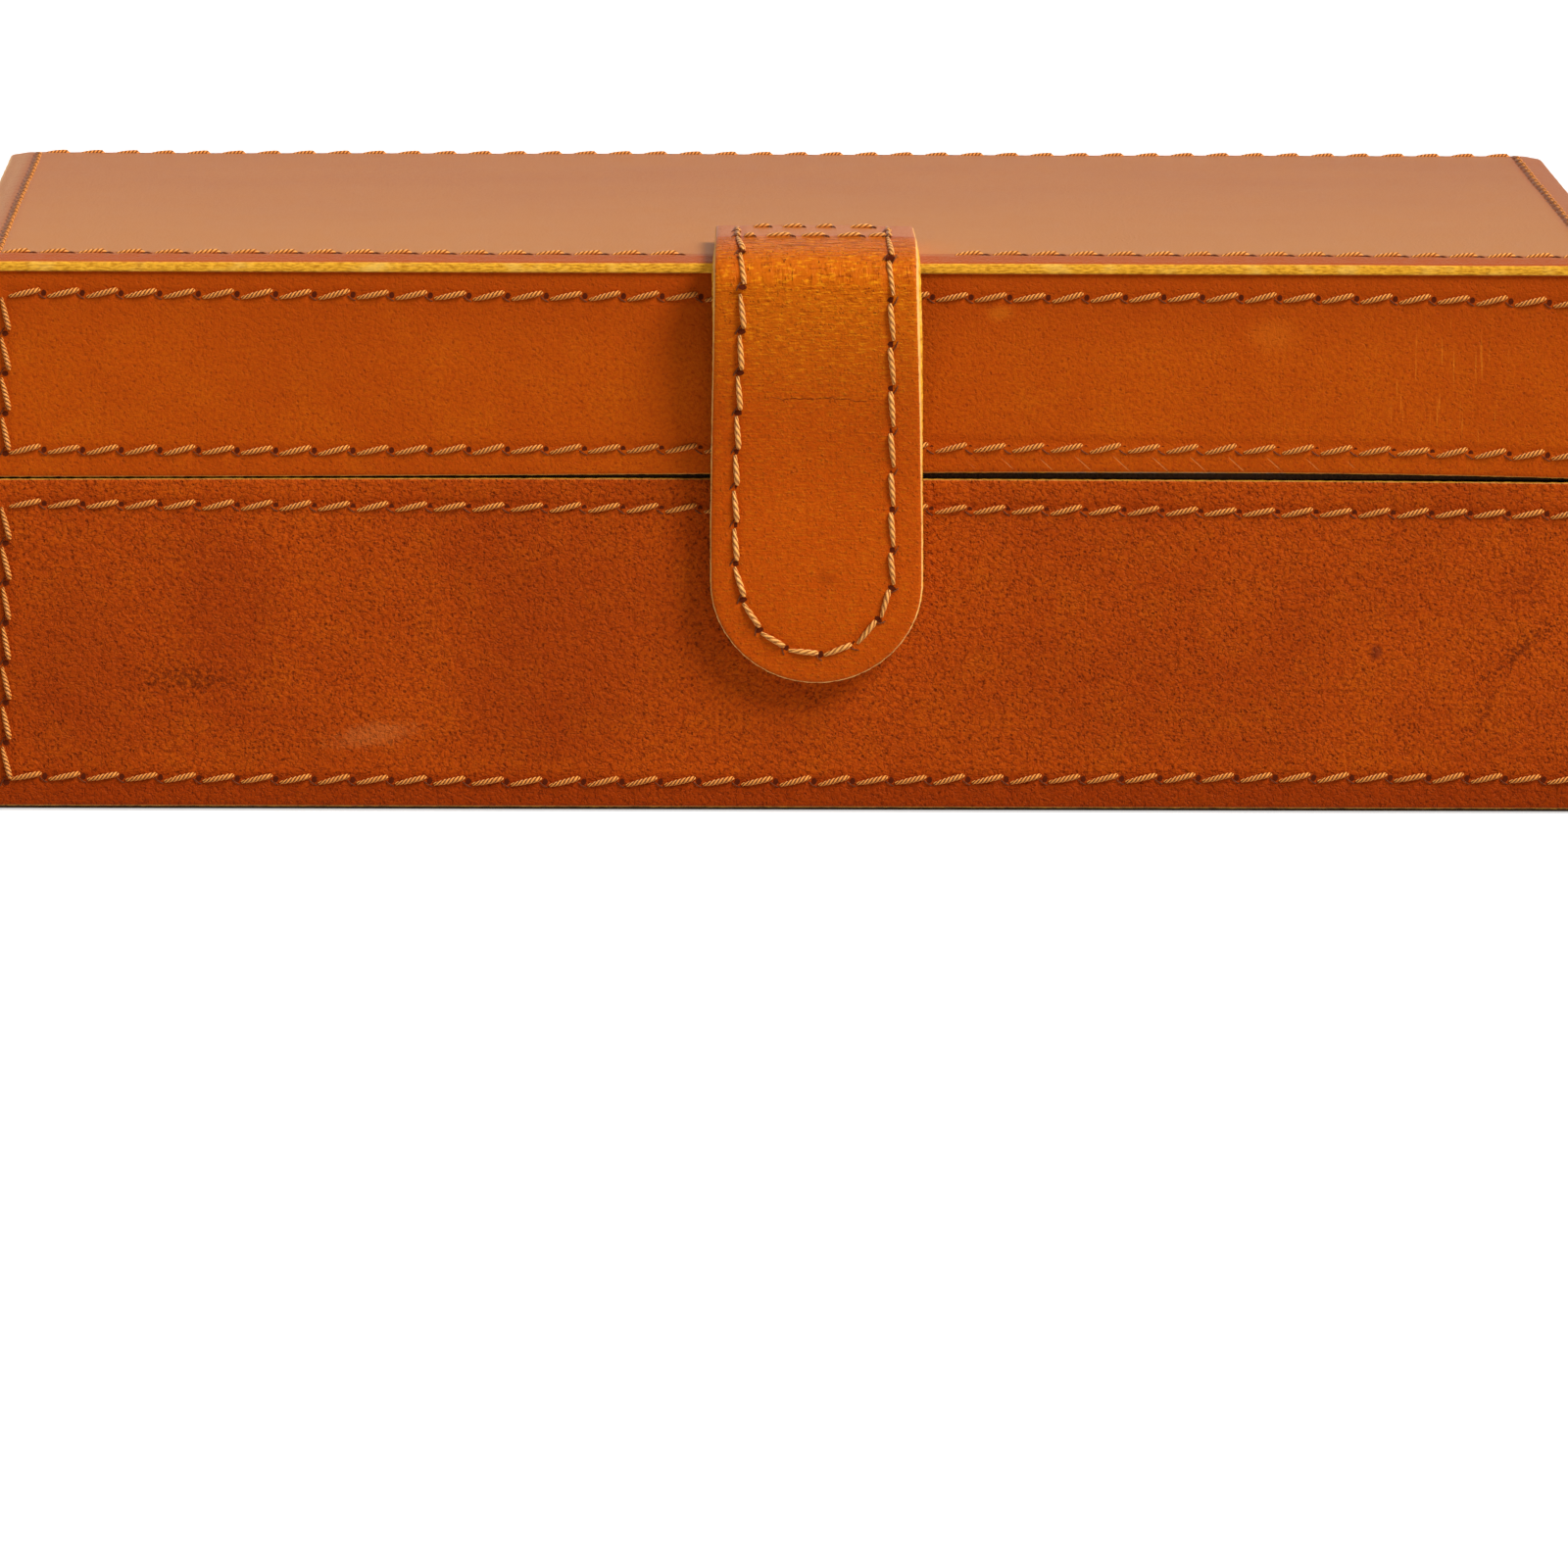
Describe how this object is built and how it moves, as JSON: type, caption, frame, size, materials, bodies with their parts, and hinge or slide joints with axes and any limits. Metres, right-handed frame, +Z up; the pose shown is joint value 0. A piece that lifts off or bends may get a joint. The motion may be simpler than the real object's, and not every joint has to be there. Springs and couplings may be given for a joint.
{
  "type": "stationery box",
  "caption": "Rectangular leather-covered stationery box with a hinged lid and a leather strap that folds over the front edge and closes on a hidden magnet; holds A5 paper.",
  "frame": {"origin": "centre of the underside, between the wall leathers' outer faces, on the surface the box stands on", "axes": "+Z up; +X to the right as seen from the front, along the box's width; -Y to the front, where the strap is"},
  "size_m": [0.2312, 0.1758, 0.0811],
  "materials": {
    "panel_leather": "vegetable-tanned, waxed, satin",
    "strap_leather": "vegetable-tanned, waxed, semi-gloss",
    "sole_leather": "flesh side, matt",
    "thread": "three-ply waxed sewing thread",
    "lining": "dark brown suede, brushed",
    "board": "medium density fibreboard, raw",
    "keeper_steel": "brushed",
    "magnet_nickel": "nickel-plated"
  },
  "bodies": {
    "base": {"base_bottom_board": "board", "base_front_board": "board", "base_back_board": "board", "base_left_board": "board", "base_right_board": "board", "base_sole": "sole_leather", "base_front_leather": "panel_leather", "base_back_leather": "panel_leather", "base_left_leather": "panel_leather", "base_right_leather": "panel_leather", "base_floor_lining": "lining", "base_front_lining": "lining", "base_back_lining": "lining", "base_left_lining": "lining", "base_right_lining": "lining", "keeper_disc": "keeper_steel", "base_front_thread": "thread", "base_back_thread": "thread", "base_left_thread": "thread", "base_right_thread": "thread"},
    "lid": {"lid_roof_board": "board", "lid_front_board": "board", "lid_back_board": "board", "lid_left_board": "board", "lid_right_board": "board", "lid_crown_card": "board", "lid_top_leather": "panel_leather", "lid_front_leather": "panel_leather", "lid_back_leather": "panel_leather", "lid_left_leather": "panel_leather", "lid_right_leather": "panel_leather", "lid_roof_lining": "lining", "lid_front_lining": "lining", "lid_back_lining": "lining", "lid_left_lining": "lining", "lid_right_lining": "lining", "lid_top_thread": "thread", "lid_front_thread": "thread", "lid_back_thread": "thread", "lid_left_thread": "thread", "lid_right_thread": "thread", "hinge_leather": "panel_leather", "strap_anchor": "strap_leather", "strap_anchor_backing": "panel_leather", "strap_anchor_thread": "thread", "strap_bend": "strap_leather", "strap_bend_backing": "panel_leather", "strap_bend_thread": "thread"},
    "strap": {"strap_tongue": "strap_leather", "strap_tongue_backing": "panel_leather", "strap_magnet": "magnet_nickel", "strap_tongue_thread": "thread"}
  },
  "joints": [
    {"name": "lid_hinge", "type": "hinge", "parent": "base", "child": "lid", "pos_m": [0, 0.08335, 0.04652], "axis": [-1, 0, 0], "range_deg": [0, 120], "deforming": ["hinge_leather"]},
    {"name": "strap_flex", "type": "hinge", "parent": "lid", "child": "strap", "pos_m": [0.0028, -0.0881, 0.078], "axis": [-1, 0, 0], "range_deg": [0, 90], "deforming": ["strap_bend", "strap_bend_backing", "strap_bend_thread"]}
  ]
}
